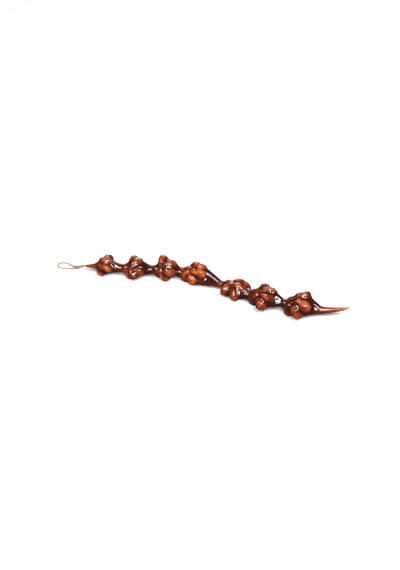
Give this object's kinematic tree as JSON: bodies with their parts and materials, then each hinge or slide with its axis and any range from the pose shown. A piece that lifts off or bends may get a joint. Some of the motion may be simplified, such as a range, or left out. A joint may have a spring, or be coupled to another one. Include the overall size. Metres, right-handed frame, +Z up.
{
  "type": "churchkhela",
  "caption": "Knobbly candle-shaped sweet: walnut halves threaded on cotton and dipped in thickened grape must, with a hanging loop and a pointed drip, lying on its side.",
  "frame": {"origin": "middle of the coated strand's box, on the surface it lies on", "axes": "+X along the strand from the hanging loop to the drip, +Z up"},
  "size_m": [0.3086, 0.0474, 0.0251],
  "materials": {
    "dried_must": "thick glossy dried grape must, amber-brown where thin and near black in the folds",
    "cotton_twine": "twisted cotton soaked with must, straw gold"
  },
  "bodies": {
    "root": {"strand": "dried_must", "thread_knot": "cotton_twine", "thread_loop": "cotton_twine"}
  },
  "joints": []
}
